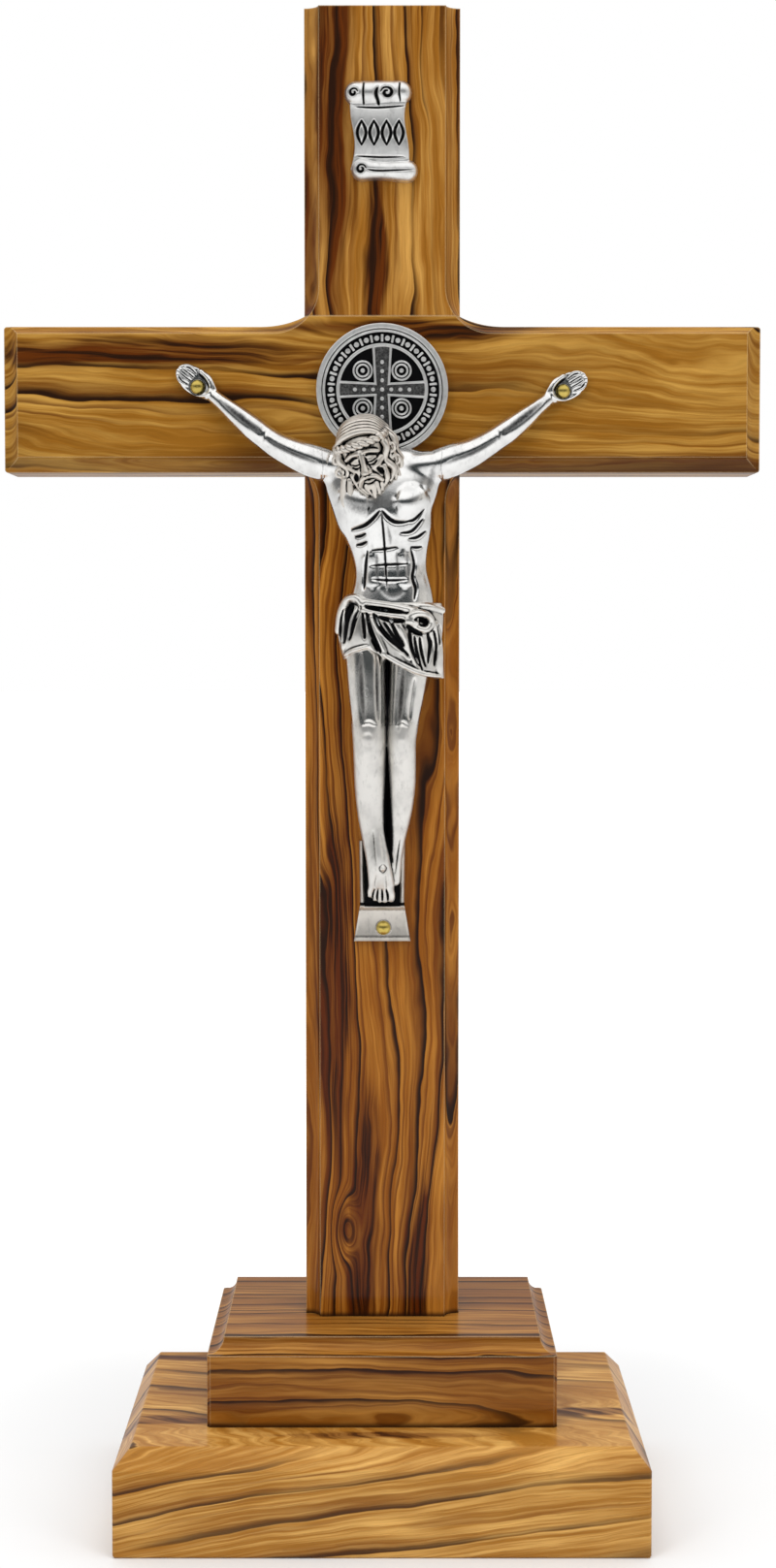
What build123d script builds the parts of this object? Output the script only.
"""Standing altar cross: a two-step base, a three-board cross and cast metal fittings.

Millimetres, +Z up. The origin is the middle of the lower tier's footprint, on the
surface it stands on. The front of the cross faces -Y.
"""

import math
import os

from build123d import *

# ---- base tiers ----
LOWER_WIDTH = 85.8
LOWER_DEPTH = 62.0
LOWER_HEIGHT = 17.3
BEVEL_IN = 2.8  # how far the lower tier's bevel runs in from the side
BEVEL_DOWN = 3.2  # how far it runs down the side
UPPER_WIDTH = 57.2
UPPER_DEPTH = 46.0
UPPER_HEIGHT = 14.4
UPPER_COVE = 2.6  # radius of the cove along the upper tier's top edges
BACK_LEDGE = 3.0  # the upper tier stands this far in from the back of the lower one
EASED = 0.5  # every loose corner of the wood is eased by about this radius

# ---- cross ----
POST_WIDTH = 25.8
CROSS_THICKNESS = 15.0
CROSS_TOP = 250.0
ARM_SPAN = 125.8
ARM_BOTTOM = 173.7
ARM_TOP = 197.8
SHOULDER_RISE = 1.6  # the crossbar stands this much taller where the upper post sits
SHOULDER_RUN = 7.4  # and comes back down to the arm over this length
COVE = 2.4  # radius of the cove routed round the front of the cross
COVE_TOP_OFFSET = 1.15  # the arms' top edges were trimmed this much after routing
BEARING = 5.2  # radius of the router bit's guide bearing
OVERRUN = 6.0  # how far a cutter runs out past the wood
CUT = 40.0  # size of the blocks that only cut something off

# ---- hidden joinery ----
DOWEL_R = 2.5
DOWEL_LENGTH = 20.0
DOWEL_CHAMFER = 0.6
DOWEL_X = 6.5
SCREW_SINK = 3.0  # the screw heads sit this deep in the underside
SCREW_CLEARANCE = 0.3  # round the sunk heads
POST_SCREW_R = 2.0
POST_SCREW_LENGTH = 48.0
TIER_SCREW_R = 1.75
TIER_SCREW_LENGTH = 25.0
TIER_SCREW_X = 18.0

# ---- medal and scroll ----
MEDAL_R = 10.9
MEDAL_THICKNESS = 1.7
MEDAL_Z = 187.15
MEDAL_RELIEF = 0.3
MEDAL_BAR = 2.2
ROUNDEL_R = 1.55
ROUNDEL_PITCH = 6.4
SCROLL_CENTRE_X = -0.4
SCROLL_WIDTH = 10.0
SCROLL_TOP_Z = 237.7
SCROLL_BOTTOM_Z = 221.0
SCROLL_SHEET = 1.1  # thickness of the scroll's sheet
SCROLL_ROLL_R = 2.1
SCROLL_ROLL_LENGTH = 11.4
LOW_ROLL_SHIFT = 1.0  # the lower roll sits this far to the right
LOZENGE_R = 1.0
LOZENGE_PITCH = 2.4
LOZENGE_DEPTH = 0.35
ROLL_SUNK = 0.3  # how far in front of the wood the middle of each roll lies

# ---- nails ----
NAIL_HEAD_R = 1.2
NAIL_HEAD_HEIGHT = 0.75
NAIL_SHANK_R = 0.5
NAIL_LENGTH = 8.0
NAIL_POINT = 1.2  # length of the tapered point
SEAT_CLEARANCE = 0.05
LEFT_NAIL = (-30.5, 187.6)
RIGHT_NAIL = (29.9, 186.9)
FOOT_NAIL = (0.2, 97.8)

# ---- figure ----
SEAM_X = 9.8  # the arms are cast apart and meet the body here
PALM = 1.2  # thickness of the metal under each nail head
PLATE_HALF_WIDTH = 3.9
RIM_WIDTH = 0.7
RIM_PROUD = 0.6
PLATE_TOP_Z = 112.3
PLATE_LEDGE_Z = 101.0
TAB_BOTTOM_Z = 95.6
TAB_HALF_WIDTH = 4.7
MEDAL_CLEARANCE = 0.15

# ---- worked out from the above ----
BASE_TOP = LOWER_HEIGHT + UPPER_HEIGHT
UPPER_Y = LOWER_DEPTH / 2 - BACK_LEDGE - UPPER_DEPTH / 2
CROSS_Y = UPPER_Y
FACE_Y = CROSS_Y - CROSS_THICKNESS / 2
BACK_Y = CROSS_Y + CROSS_THICKNESS / 2
CROSSBAR_TOP = ARM_TOP + SHOULDER_RISE
HALF_POST = POST_WIDTH / 2
HALF_SPAN = ARM_SPAN / 2
SHOULDER_R = (SHOULDER_RUN**2 + SHOULDER_RISE**2) / (2 * SHOULDER_RISE)
DOWEL_SPOTS = [(-DOWEL_X, CROSS_Y), (DOWEL_X, CROSS_Y)]
TIER_SCREW_SPOTS = [(-TIER_SCREW_X, CROSS_Y), (TIER_SCREW_X, CROSS_Y)]
PALM_Y = FACE_Y - PALM
DOME_R = (NAIL_HEAD_R**2 + NAIL_HEAD_HEIGHT**2) / (2 * NAIL_HEAD_HEIGHT)
DOME_ANGLE = math.degrees(math.asin(NAIL_HEAD_R / DOME_R))

# Sketch planes that face the viewer: local x is X, local y is Z, and a positive
# extrusion comes out towards the front.
FACE_PLANE = Plane.XZ.offset(-FACE_Y)
BACK_PLANE = Plane.XZ.offset(-BACK_Y)

os.makedirs("parts", exist_ok=True)


# ---- cutters that several pieces share ----

# The router follows the outline of the cross with its bearing, so each of the four
# runs is straight, turns round the bearing in the inner corner and runs out straight.
with BuildPart() as router_cuts:
    for side in (-1, 1):
        post_x = side * HALF_POST
        end_x = side * (HALF_SPAN + OVERRUN)
        upper_z = ARM_TOP + COVE_TOP_OFFSET
        runs = [
            [(post_x, CROSS_TOP + OVERRUN), (post_x, upper_z), (end_x, upper_z)],
            [(post_x, BASE_TOP - OVERRUN), (post_x, ARM_BOTTOM), (end_x, ARM_BOTTOM)],
        ]
        for run in runs:
            with BuildLine(FACE_PLANE) as bit_path:
                FilletPolyline(*run, radius=BEARING)
            with BuildSketch(Plane(bit_path.line @ 0, z_dir=bit_path.line % 0)):
                Circle(COVE)
            sweep(path=bit_path.line)
        with Locations((side * HALF_SPAN, FACE_Y, (ARM_BOTTOM + ARM_TOP) / 2)):
            Cylinder(COVE, ARM_TOP - ARM_BOTTOM + 2 * OVERRUN)

with BuildPart() as lower_dowel_bores:
    with Locations(*[(x, y, ARM_BOTTOM) for x, y in DOWEL_SPOTS]):
        Cylinder(DOWEL_R, DOWEL_LENGTH)

with BuildPart() as upper_dowel_bores:
    with Locations(*[(x, y, CROSSBAR_TOP) for x, y in DOWEL_SPOTS]):
        Cylinder(DOWEL_R, DOWEL_LENGTH)


def screw_outline(radius, length):
    """Half outline of a countersunk wood screw that stands on its sunk head.

    The points run up the outside: head, plain shank, then ridges and the point.
    """
    head_r = 2 * radius
    pitch = 0.9 * radius
    root = 0.7 * radius
    neck_z = SCREW_SINK + head_r - radius
    thread_z = SCREW_SINK + 0.45 * length
    point_z = SCREW_SINK + length - 2.5 * radius
    points = [(0, SCREW_SINK), (head_r, SCREW_SINK), (radius, neck_z), (radius, thread_z)]
    for turn in range(int((point_z - thread_z) / pitch)):
        foot_z = thread_z + turn * pitch
        points.append((root, foot_z + 0.3 * pitch))
        points.append((root, foot_z + 0.6 * pitch))
        points.append((radius, foot_z + pitch))
    points.append((0, SCREW_SINK + length))
    return points


def hole_outline(radius, length):
    """Half outline of the hole that such a screw sits in, open at the underside."""
    head_r = 2 * radius
    neck_z = SCREW_SINK + head_r - radius
    tip_z = SCREW_SINK + length
    mouth_r = head_r + SCREW_CLEARANCE
    return [
        (0, -1), (mouth_r, -1), (mouth_r, SCREW_SINK), (head_r, SCREW_SINK),
        (radius, neck_z), (radius, tip_z - 2.5 * radius), (0, tip_z),
    ]


def spin(outline, x, y):
    """Turn a half outline, given as (radius, height) points, round an upright axis."""
    with BuildPart() as turned:
        with BuildSketch(Plane((x, y, 0), x_dir=(1, 0, 0), z_dir=(0, -1, 0))):
            with BuildLine():
                Polyline(*outline, close=True)
            make_face()
        revolve(axis=Axis((x, y, 0), (0, 0, 1)))
    return turned.part


post_hole = spin(hole_outline(POST_SCREW_R, POST_SCREW_LENGTH), 0, CROSS_Y)
tier_holes = [
    spin(hole_outline(TIER_SCREW_R, TIER_SCREW_LENGTH), x, y) for x, y in TIER_SCREW_SPOTS
]

# The nail holes run through the metal and just as far into the wood as the points do.
with BuildPart() as nail_holes:
    with BuildSketch(FACE_PLANE.offset(PALM - NAIL_LENGTH)):
        with Locations(LEFT_NAIL, RIGHT_NAIL, FOOT_NAIL):
            Circle(NAIL_SHANK_R)
    extrude(amount=NAIL_LENGTH + OVERRUN)


# ---- base ----

with BuildPart() as lower_tier:
    with BuildSketch(Plane.XY):
        Rectangle(LOWER_WIDTH, LOWER_DEPTH)
    extrude(amount=LOWER_HEIGHT)
    top_face = lower_tier.faces().sort_by(Axis.Z)[-1]
    chamfer(top_face.edges(), length=BEVEL_IN, length2=BEVEL_DOWN, reference=top_face)
    fillet(lower_tier.edges(), radius=EASED)
    for hole in (post_hole, *tier_holes):
        add(hole, mode=Mode.SUBTRACT)
lower_tier.part.label = "lower_tier"
export_step(lower_tier.part, "parts/lower_tier.step")

with BuildPart() as upper_tier:
    with BuildSketch(Plane.XY.offset(LOWER_HEIGHT)):
        with Locations((0, UPPER_Y)):
            Rectangle(UPPER_WIDTH, UPPER_DEPTH)
    extrude(amount=UPPER_HEIGHT)
    chamfer(upper_tier.edges().filter_by(Axis.Z), length=EASED)
    for side in (-1, 1):
        with Locations(Location((side * UPPER_WIDTH / 2, UPPER_Y, BASE_TOP), (90, 0, 0))):
            Cylinder(UPPER_COVE, UPPER_DEPTH + 2 * OVERRUN, mode=Mode.SUBTRACT)
        with Locations(Location((0, UPPER_Y + side * UPPER_DEPTH / 2, BASE_TOP), (0, 90, 0))):
            Cylinder(UPPER_COVE, UPPER_WIDTH + 2 * OVERRUN, mode=Mode.SUBTRACT)
    for hole in (post_hole, *tier_holes):
        add(hole, mode=Mode.SUBTRACT)
upper_tier.part.label = "upper_tier"
export_step(upper_tier.part, "parts/upper_tier.step")


# ---- cross ----

def board_edges(board):
    """The long back edges of a post board, which are eased by hand."""
    return board.edges().filter_by(Axis.Z).group_by(Axis.Y)[-1]


with BuildPart() as lower_post:
    with BuildSketch(Plane.XY.offset(BASE_TOP)):
        with Locations((0, CROSS_Y)):
            Rectangle(POST_WIDTH, CROSS_THICKNESS)
    extrude(amount=ARM_BOTTOM - BASE_TOP)
    fillet(board_edges(lower_post), radius=EASED)
    add(router_cuts.part, mode=Mode.SUBTRACT)
    add(lower_dowel_bores.part, mode=Mode.SUBTRACT)
    add(post_hole, mode=Mode.SUBTRACT)
    add(nail_holes.part, mode=Mode.SUBTRACT)
lower_post.part.label = "lower_post"
export_step(lower_post.part, "parts/lower_post.step")

with BuildPart() as crossbar:
    with BuildSketch(BACK_PLANE):
        with BuildLine():
            foot_x = HALF_POST + SHOULDER_RUN
            Polyline(
                (-foot_x, ARM_TOP), (-HALF_SPAN, ARM_TOP), (-HALF_SPAN, ARM_BOTTOM),
                (HALF_SPAN, ARM_BOTTOM), (HALF_SPAN, ARM_TOP), (foot_x, ARM_TOP),
            )
            RadiusArc((foot_x, ARM_TOP), (HALF_POST, CROSSBAR_TOP), SHOULDER_R)
            Line((HALF_POST, CROSSBAR_TOP), (-HALF_POST, CROSSBAR_TOP))
            RadiusArc((-HALF_POST, CROSSBAR_TOP), (-foot_x, ARM_TOP), SHOULDER_R)
        make_face()
    extrude(amount=CROSS_THICKNESS)
    end_edges = crossbar.edges().filter_by(Axis.Y)
    fillet(end_edges.group_by(Axis.X)[0] + end_edges.group_by(Axis.X)[-1], radius=EASED)
    add(router_cuts.part, mode=Mode.SUBTRACT)
    add(lower_dowel_bores.part, mode=Mode.SUBTRACT)
    add(upper_dowel_bores.part, mode=Mode.SUBTRACT)
    add(nail_holes.part, mode=Mode.SUBTRACT)
crossbar.part.label = "crossbar"
export_step(crossbar.part, "parts/crossbar.step")

with BuildPart() as upper_post:
    with BuildSketch(Plane.XY.offset(CROSSBAR_TOP)):
        with Locations((0, CROSS_Y)):
            Rectangle(POST_WIDTH, CROSS_THICKNESS)
    extrude(amount=CROSS_TOP - CROSSBAR_TOP)
    fillet(board_edges(upper_post), radius=EASED)
    add(router_cuts.part, mode=Mode.SUBTRACT)
    add(upper_dowel_bores.part, mode=Mode.SUBTRACT)
upper_post.part.label = "upper_post"
export_step(upper_post.part, "parts/upper_post.step")


# ---- hidden joinery ----

with BuildPart() as lower_dowels:
    with Locations(*[(x, y, ARM_BOTTOM) for x, y in DOWEL_SPOTS]):
        Cylinder(DOWEL_R, DOWEL_LENGTH)
    chamfer(lower_dowels.edges().filter_by(GeomType.CIRCLE), length=DOWEL_CHAMFER)
lower_dowels.part.label = "lower_dowels"
export_step(lower_dowels.part, "parts/lower_dowels.step")

with BuildPart() as upper_dowels:
    with Locations(*[(x, y, CROSSBAR_TOP) for x, y in DOWEL_SPOTS]):
        Cylinder(DOWEL_R, DOWEL_LENGTH)
    chamfer(upper_dowels.edges().filter_by(GeomType.CIRCLE), length=DOWEL_CHAMFER)
upper_dowels.part.label = "upper_dowels"
export_step(upper_dowels.part, "parts/upper_dowels.step")


def cut_drive(x, y, radius):
    """Cross recess in the head of a screw whose head lies at SCREW_SINK."""
    with Locations((x, y, SCREW_SINK)):
        Box(2.2 * radius, 0.5 * radius, 1.6 * radius, mode=Mode.SUBTRACT)
        Box(0.5 * radius, 2.2 * radius, 1.6 * radius, mode=Mode.SUBTRACT)


with BuildPart() as post_screw:
    add(spin(screw_outline(POST_SCREW_R, POST_SCREW_LENGTH), 0, CROSS_Y))
    cut_drive(0, CROSS_Y, POST_SCREW_R)
post_screw.part.label = "post_screw"
export_step(post_screw.part, "parts/post_screw.step")

with BuildPart() as tier_screws:
    for x, y in TIER_SCREW_SPOTS:
        add(spin(screw_outline(TIER_SCREW_R, TIER_SCREW_LENGTH), x, y))
        cut_drive(x, y, TIER_SCREW_R)
tier_screws.part.label = "tier_screws"
export_step(tier_screws.part, "parts/tier_screws.step")


# ---- medal ----

with BuildPart() as medal:
    with BuildSketch(FACE_PLANE):
        with Locations((0, MEDAL_Z)):
            Circle(MEDAL_R)
    extrude(amount=MEDAL_THICKNESS)
    front_rim = medal.edges().filter_by(GeomType.CIRCLE).sort_by(Axis.Y)[0]
    fillet(front_rim, radius=MEDAL_RELIEF)
    # The field is sunk and the ridges, the cross and the roundels are left standing.
    with BuildSketch(FACE_PLANE.offset(MEDAL_THICKNESS)):
        with Locations((0, MEDAL_Z)):
            Circle(0.91 * MEDAL_R)
            Circle(0.88 * MEDAL_R, mode=Mode.SUBTRACT)
            Circle(0.84 * MEDAL_R)
            Circle(0.70 * MEDAL_R, mode=Mode.SUBTRACT)
            Circle(0.66 * MEDAL_R)
        with Locations((0, MEDAL_Z)):
            Rectangle(MEDAL_BAR, 1.24 * MEDAL_R, mode=Mode.SUBTRACT)
            Rectangle(1.24 * MEDAL_R, MEDAL_BAR, mode=Mode.SUBTRACT)
            with GridLocations(ROUNDEL_PITCH, ROUNDEL_PITCH, 2, 2):
                Circle(ROUNDEL_R, mode=Mode.SUBTRACT)
    extrude(amount=-MEDAL_RELIEF, mode=Mode.SUBTRACT)
medal.part.label = "medal"
export_step(medal.part, "parts/medal.step")


# ---- scroll plate ----

with BuildPart() as scroll:
    sheet_height = SCROLL_TOP_Z - SCROLL_BOTTOM_Z - 2 * SCROLL_ROLL_R
    sheet_z = (SCROLL_TOP_Z + SCROLL_BOTTOM_Z) / 2
    with BuildSketch(FACE_PLANE):
        with Locations((SCROLL_CENTRE_X, sheet_z)):
            Rectangle(SCROLL_WIDTH, sheet_height + SCROLL_ROLL_R)
    extrude(amount=SCROLL_SHEET)
    top_roll = (SCROLL_CENTRE_X, FACE_Y - ROLL_SUNK, SCROLL_TOP_Z - SCROLL_ROLL_R)
    with Locations(Location(top_roll, (0, 90, 0))):
        Cylinder(SCROLL_ROLL_R, SCROLL_ROLL_LENGTH)
    low_roll = (SCROLL_CENTRE_X + LOW_ROLL_SHIFT, FACE_Y - ROLL_SUNK, SCROLL_BOTTOM_Z + SCROLL_ROLL_R)
    with Locations(Location(low_roll, (0, 90, 0))):
        Cylinder(SCROLL_ROLL_R, SCROLL_ROLL_LENGTH)
    split(bisect_by=FACE_PLANE, keep=Keep.TOP)
    # A row of sunk lozenges takes the place of any inscription.
    with BuildSketch(FACE_PLANE.offset(SCROLL_SHEET)):
        with Locations((SCROLL_CENTRE_X, sheet_z)):
            with GridLocations(LOZENGE_PITCH, LOZENGE_PITCH, 4, 1):
                RegularPolygon(LOZENGE_R, 4)
    extrude(amount=-LOZENGE_DEPTH, mode=Mode.SUBTRACT)
scroll.part.label = "scroll"
export_step(scroll.part, "parts/scroll.step")


# ---- nails ----

def make_nail(spot, name):
    """A round-headed pin at spot (X, Z), its head resting on the metal it holds."""
    x, z = spot
    with BuildPart() as nail:
        with BuildSketch(Plane((x, PALM_Y, z), x_dir=(1, 0, 0), z_dir=(0, 0, -1))):
            with BuildLine():
                Line((0, NAIL_HEAD_HEIGHT), (0, -NAIL_LENGTH))
                Polyline(
                    (0, -NAIL_LENGTH), (NAIL_SHANK_R, NAIL_POINT - NAIL_LENGTH),
                    (NAIL_SHANK_R, 0), (NAIL_HEAD_R, 0),
                )
                CenterArc((0, NAIL_HEAD_HEIGHT - DOME_R), DOME_R, 90, -DOME_ANGLE)
            make_face()
        revolve(axis=Axis((x, PALM_Y, z), (0, -1, 0)))
    nail.part.label = name
    export_step(nail.part, f"parts/{name}.step")


make_nail(LEFT_NAIL, "left_hand_nail")
make_nail(RIGHT_NAIL, "right_hand_nail")
make_nail(FOOT_NAIL, "foot_nail")


# ---- figure: body, cast in one with its loincloth, legs, feet and foot plate ----

# Each station is: height, centre x, half width, centre's distance in front of the
# cross, half depth. The part behind the face of the cross is cut off flat.
TRUNK = [
    (177.4, -0.4, 5.0, 3.2, 2.2),
    (175.8, -0.1, 10.6, 2.9, 3.2),
    (172.8, 0.4, 9.9, 2.8, 4.3),
    (168.5, 1.1, 8.3, 2.6, 4.9),
    (163.0, 1.6, 7.1, 2.4, 4.4),
    (157.0, 1.8, 6.5, 2.2, 3.8),
    (152.0, 1.6, 7.6, 2.3, 4.3),
    (147.0, 1.4, 8.5, 2.4, 4.9),
    (141.0, 1.4, 8.3, 2.6, 4.7),
]
LEFT_LEG = [
    (146.0, -2.6, 3.8, 2.9, 3.5),
    (138.0, -2.7, 3.3, 3.4, 3.2),
    (129.5, -2.4, 2.5, 4.3, 2.7),
    (121.5, -2.1, 2.2, 3.1, 2.3),
    (113.0, -1.3, 1.6, 2.4, 1.6),
    (107.0, -0.6, 1.8, 2.6, 1.5),
]
RIGHT_LEG = [
    (146.0, 4.7, 3.8, 2.9, 3.5),
    (138.0, 4.2, 3.3, 3.4, 3.2),
    (129.5, 2.9, 2.5, 4.3, 2.7),
    (121.5, 2.4, 2.2, 3.1, 2.3),
    (113.0, 1.2, 1.6, 2.7, 1.7),
    (107.5, 0.5, 1.9, 3.6, 1.7),
    (102.4, 0.0, 2.2, 2.3, 1.2),
]
NECK_CENTRE = (-1.4, FACE_Y - 4.6, 177.0)
NECK_R = 3.0
HEAD_CENTRE = (-2.7, FACE_Y - 5.6, 176.2)
HEAD_HALF_WIDTH = 4.4
HEAD_HALF_HEIGHT = 5.6
HEAD_UP = (-0.34, 0, 0.94)  # from chin to crown: the head leans to the left
HEAD_ACROSS = (0.94, 0, 0.34)


def loft_upright(stations):
    """A smooth solid through level ellipses, one for each station."""
    with BuildPart() as upright:
        for height, x, half_width, proud, half_depth in stations:
            with BuildSketch(Plane.XY.offset(height)):
                with Locations((x, FACE_Y - proud)):
                    Ellipse(half_width, half_depth)
        loft()
    return upright.part


trunk_and_legs = [loft_upright(stations) for stations in (TRUNK, LEFT_LEG, RIGHT_LEG)]

with BuildPart() as corpus:
    for upright in trunk_and_legs:
        add(upright)
    # The neck, and the bowed head as an egg about its own long axis.
    with Locations(NECK_CENTRE):
        Sphere(NECK_R)
    with BuildSketch(Plane(HEAD_CENTRE, x_dir=HEAD_ACROSS, z_dir=(0, -1, 0))):
        Ellipse(HEAD_HALF_WIDTH, HEAD_HALF_HEIGHT)
        Rectangle(CUT, CUT, align=(Align.MAX, Align.CENTER), mode=Mode.SUBTRACT)
    revolve(axis=Axis(HEAD_CENTRE, HEAD_UP))
    # The foot plate, with its flared tab, its raised rims and the ledge under the toes.
    with BuildSketch(FACE_PLANE):
        with BuildLine():
            Polyline(
                (PLATE_HALF_WIDTH, PLATE_TOP_Z), (PLATE_HALF_WIDTH, PLATE_LEDGE_Z),
                (TAB_HALF_WIDTH, TAB_BOTTOM_Z), (-TAB_HALF_WIDTH, TAB_BOTTOM_Z),
                (-PLATE_HALF_WIDTH, PLATE_LEDGE_Z), (-PLATE_HALF_WIDTH, PLATE_TOP_Z),
                close=True,
            )
        make_face()
    extrude(amount=PALM)
    rim_x = PLATE_HALF_WIDTH - RIM_WIDTH / 2
    rim_z = (PLATE_TOP_Z + PLATE_LEDGE_Z) / 2
    with BuildSketch(FACE_PLANE):
        with Locations((-rim_x, rim_z), (rim_x, rim_z)):
            Rectangle(RIM_WIDTH, PLATE_TOP_Z - PLATE_LEDGE_Z)
        with Locations((0, PLATE_LEDGE_Z)):
            Rectangle(2 * PLATE_HALF_WIDTH, RIM_WIDTH)
    extrude(amount=PALM + RIM_PROUD)
    # Flat shoulder faces where the arms join, a flat back, and room for the medal.
    with Locations((0, FACE_Y, CROSS_TOP / 2)):
        Box(
            2 * SEAM_X, CUT, CROSS_TOP,
            align=(Align.CENTER, Align.MAX, Align.CENTER), mode=Mode.INTERSECT,
        )
    with BuildSketch(FACE_PLANE):
        with Locations((0, MEDAL_Z)):
            Circle(MEDAL_R + MEDAL_CLEARANCE)
    extrude(amount=MEDAL_THICKNESS + MEDAL_CLEARANCE, mode=Mode.SUBTRACT)
    add(nail_holes.part, mode=Mode.SUBTRACT)
corpus.part.label = "corpus"
export_step(corpus.part, "parts/corpus.step")


# ---- figure: arms ----

# Each station is: x, z, distance in front of the cross, half width across the arm,
# half depth. They run from inside the shoulder, past the seam, to the fingertips.
LEFT_ARM = [
    (-7.5, 173.9, 2.9, 3.5, 3.2),
    (-14.4, 176.7, 2.7, 2.5, 2.6),
    (-19.5, 179.4, 2.4, 2.1, 2.1),
    (-24.2, 183.0, 1.6, 1.7, 1.6),
    (-27.9, 186.1, 0.9, 1.3, 1.1),
    (-30.7, 187.9, 0.6, 1.9, 0.9),
    (-32.6, 189.5, 0.5, 1.9, 0.7),
    (-34.1, 191.0, 0.5, 1.2, 0.6),
]
RIGHT_ARM = [
    (7.5, 173.9, 2.9, 3.5, 3.2),
    (14.0, 176.6, 2.7, 2.5, 2.6),
    (18.6, 179.0, 2.4, 2.1, 2.1),
    (23.6, 182.3, 1.6, 1.7, 1.6),
    (27.4, 185.3, 0.9, 1.3, 1.1),
    (30.2, 187.1, 0.6, 1.9, 0.9),
    (32.4, 188.4, 0.5, 1.9, 0.7),
    (34.2, 189.6, 0.5, 1.2, 0.6),
]


def make_arm(stations, nail_spot, name):
    """An arm and open hand, lofted along its own line, flat at the seam and on the wood."""
    side = math.copysign(1, nail_spot[0])
    with BuildPart() as arm:
        for index, (x, z, proud, half_width, half_depth) in enumerate(stations):
            before = stations[max(index - 1, 0)]
            after = stations[min(index + 1, len(stations) - 1)]
            along = (after[0] - before[0], 0, after[1] - before[1])
            with BuildSketch(Plane((x, FACE_Y - proud, z), x_dir=(0, 1, 0), z_dir=along)):
                Ellipse(half_depth, half_width)
        loft(ruled=True)
        split(bisect_by=FACE_PLANE, keep=Keep.TOP)
        split(bisect_by=Plane((side * SEAM_X, 0, 0), z_dir=(side, 0, 0)), keep=Keep.TOP)
        # A flat seat for the nail head.
        with BuildSketch(FACE_PLANE.offset(PALM)):
            with Locations(nail_spot):
                Circle(NAIL_HEAD_R + SEAT_CLEARANCE)
        extrude(amount=OVERRUN, mode=Mode.SUBTRACT)
        add(nail_holes.part, mode=Mode.SUBTRACT)
    arm.part.label = name
    export_step(arm.part, f"parts/{name}.step")


make_arm(LEFT_ARM, LEFT_NAIL, "left_arm")
make_arm(RIGHT_ARM, RIGHT_NAIL, "right_arm")
